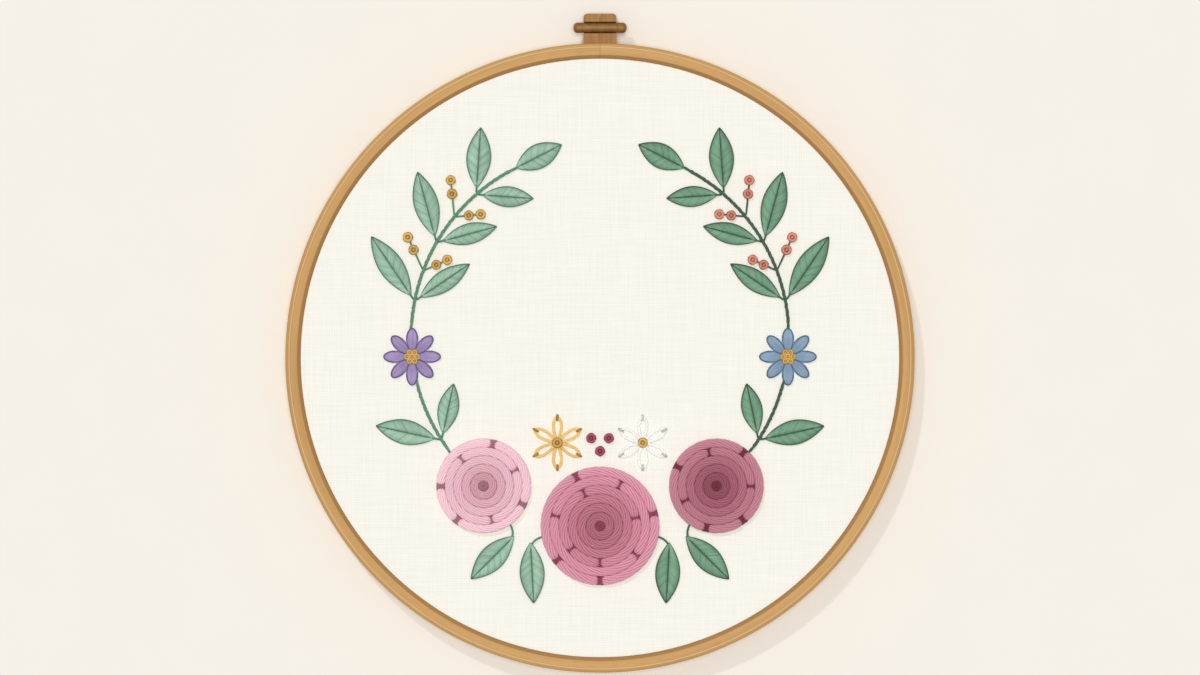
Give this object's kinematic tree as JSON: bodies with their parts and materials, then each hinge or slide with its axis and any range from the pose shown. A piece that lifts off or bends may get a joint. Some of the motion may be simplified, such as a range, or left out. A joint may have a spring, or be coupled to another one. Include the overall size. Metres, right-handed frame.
{
  "type": "embroidered linen in a wooden hoop",
  "caption": "Round linen ground held tight in a two-part wooden hoop with a closing screw, worked with a wreath of flowers in raised floss, for hanging or display.",
  "frame": {"origin": "middle of the part's footprint, on the plane of the hoops' back rims that it lies on", "axes": "+Z out of the embroidered face, +Y towards the closing screw at the top, +X to the right seen from the front"},
  "size_m": [0.2098, 0.2199, 0.0126],
  "materials": {
    "hoop_wood": "satin-lacquered beech, grain along the bend",
    "lug_wood": "satin-stained beech",
    "bronze": "aged bronze, dull shine",
    "linen": "plain-weave off-white linen",
    "floss_pink": "stranded cotton floss, soft sheen",
    "floss_pale_pink": "stranded cotton floss, soft sheen",
    "floss_burgundy": "stranded cotton floss, soft sheen",
    "floss_violet": "stranded cotton floss, soft sheen",
    "floss_blue": "stranded cotton floss, soft sheen",
    "floss_gold": "stranded cotton floss, soft sheen",
    "floss_white": "stranded cotton floss, soft sheen",
    "floss_coral": "stranded cotton floss, soft sheen",
    "floss_wine": "stranded cotton floss, soft sheen",
    "floss_leaf_light": "stranded cotton floss, soft sheen",
    "floss_leaf_dark": "stranded cotton floss, soft sheen",
    "floss_stem_mid": "stranded cotton floss, soft sheen",
    "floss_stem_dark": "stranded cotton floss, soft sheen"
  },
  "bodies": {
    "hoop": {"outer_hoop": "hoop_wood", "inner_hoop": "hoop_wood", "ground_cloth": "linen", "lug_left": "lug_wood", "lug_right": "lug_wood", "rose_foot": "floss_pink", "rose_left": "floss_pale_pink", "rose_right": "floss_burgundy", "aster_left": "floss_violet", "aster_right": "floss_blue", "daisy_left": "floss_gold", "daisy_right": "floss_white", "knot_1": "floss_wine", "knot_2": "floss_wine", "knot_3": "floss_wine", "vine_left_low": "floss_stem_mid", "vine_left_high": "floss_stem_mid", "leaf_left_outer_1": "floss_leaf_light", "leaf_left_outer_2": "floss_leaf_light", "leaf_left_outer_3": "floss_leaf_light", "leaf_left_outer_4": "floss_leaf_light", "sprig_left_outer_1": "floss_gold", "sprig_left_outer_2": "floss_gold", "leaf_left_inner_1": "floss_leaf_light", "leaf_left_inner_2": "floss_leaf_light", "leaf_left_inner_3": "floss_leaf_light", "leaf_left_inner_4": "floss_leaf_light", "sprig_left_inner_1": "floss_gold", "sprig_left_inner_2": "floss_gold", "leaf_left_tip": "floss_leaf_light", "leaf_left_fan_1": "floss_leaf_light", "leaf_left_fan_2": "floss_leaf_light", "vine_right_low": "floss_stem_dark", "vine_right_high": "floss_stem_dark", "leaf_right_outer_1": "floss_leaf_dark", "leaf_right_outer_2": "floss_leaf_dark", "leaf_right_outer_3": "floss_leaf_dark", "leaf_right_outer_4": "floss_leaf_dark", "sprig_right_outer_1": "floss_coral", "sprig_right_outer_2": "floss_coral", "leaf_right_inner_1": "floss_leaf_dark", "leaf_right_inner_2": "floss_leaf_dark", "leaf_right_inner_3": "floss_leaf_dark", "leaf_right_inner_4": "floss_leaf_dark", "sprig_right_inner_1": "floss_coral", "sprig_right_inner_2": "floss_coral", "leaf_right_tip": "floss_leaf_dark", "leaf_right_fan_1": "floss_leaf_dark", "leaf_right_fan_2": "floss_leaf_dark"},
    "screw": {"closing_screw": "bronze"}
  },
  "joints": [
    {"name": "screw_turn", "type": "hinge", "parent": "hoop", "child": "screw", "pos_m": [0, 0.10533, 0.0064], "axis": [1, 0, 0], "range_deg": [-360, 90]}
  ]
}
